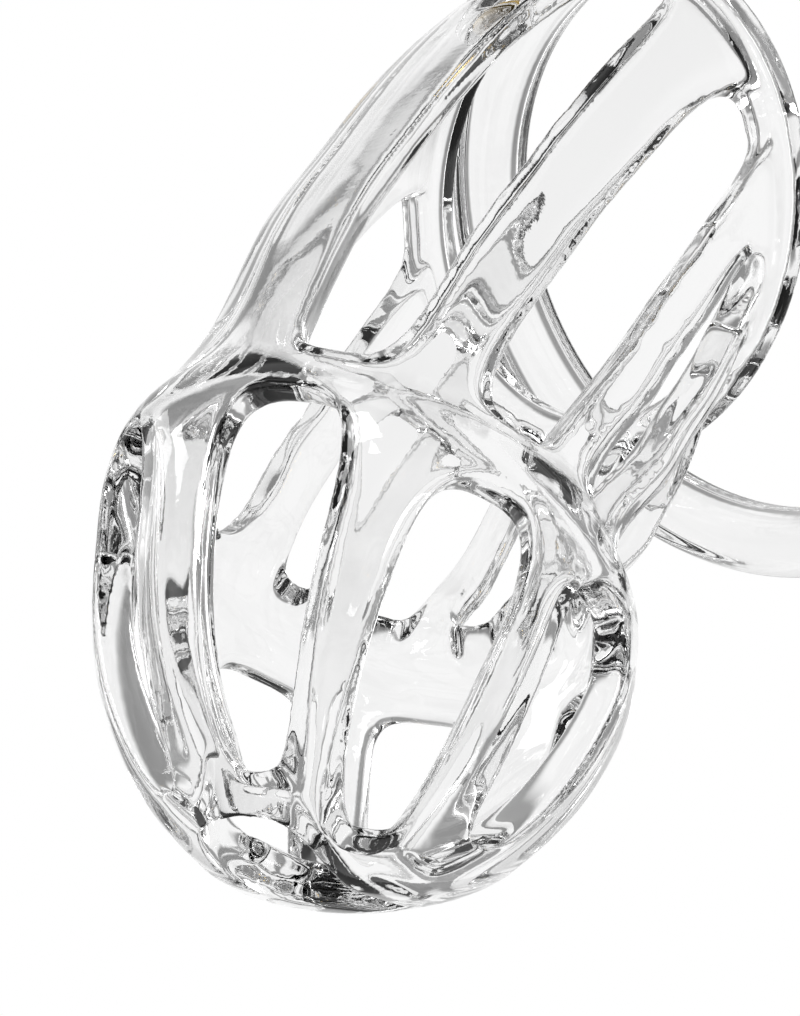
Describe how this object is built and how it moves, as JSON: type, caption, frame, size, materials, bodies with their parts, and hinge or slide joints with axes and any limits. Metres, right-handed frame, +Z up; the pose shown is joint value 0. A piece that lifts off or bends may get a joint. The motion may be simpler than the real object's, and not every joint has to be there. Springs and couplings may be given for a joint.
{
  "type": "wearable openwork cage",
  "caption": "Clear moulded adult wearable cage: slotted domed head, curved strap tube, base flange with lock housing, and a separate base ring behind it.",
  "frame": {"origin": "centre of the base ring's bore, halfway through the ring's width", "axes": "+Y along the ring's bore axis backwards to the wearer, -Y forwards to the closed tip, +Z up on the lock side, X across; as worn, mirror-symmetric about X = 0"},
  "size_m": [0.055, 0.0758, 0.0733],
  "materials": {
    "clear_cage": "clear polished moulded plastic",
    "clear_ring": "clear polished moulded plastic",
    "brass_barrel": "turned",
    "brass_core": "turned",
    "steel_small": "plain"
  },
  "bodies": {
    "ring": {"base_ring": "clear_ring"},
    "cage": {"cage_head": "clear_cage", "cage_shaft": "clear_cage", "cage_flange": "clear_cage", "lock_housing": "clear_cage"},
    "barrel": {"lock_barrel": "brass_barrel"},
    "core": {"lock_core": "brass_core", "locking_cam": "steel_small", "core_clip": "steel_small"},
    "wafer_a": {"wafer_1": "brass_core"},
    "wafer_b": {"wafer_2": "brass_core"},
    "wafer_c": {"wafer_3": "brass_core"},
    "wafer_d": {"wafer_4": "brass_core"}
  },
  "joints": [
    {"name": "cage_slide", "type": "slide", "parent": "ring", "child": "cage", "axis": [0, -1, 0], "range_m": [0, 0.03]},
    {"name": "barrel_slide", "type": "slide", "parent": "cage", "child": "barrel", "axis": [0, -1, 0], "range_m": [0, 0.0225]},
    {"name": "core_turn", "type": "hinge", "parent": "barrel", "child": "core", "pos_m": [0, -0.0175, 0.0322], "axis": [0, -1, 0], "range_deg": [0, 180]},
    {"name": "wafer_a_slide", "type": "slide", "parent": "core", "child": "wafer_a", "axis": [1, 0, 0], "range_m": [0, 0.00035]},
    {"name": "wafer_b_slide", "type": "slide", "parent": "core", "child": "wafer_b", "axis": [1, 0, 0], "range_m": [0, 0.00035]},
    {"name": "wafer_c_slide", "type": "slide", "parent": "core", "child": "wafer_c", "axis": [1, 0, 0], "range_m": [0, 0.00035]},
    {"name": "wafer_d_slide", "type": "slide", "parent": "core", "child": "wafer_d", "axis": [1, 0, 0], "range_m": [0, 0.00035]}
  ]
}
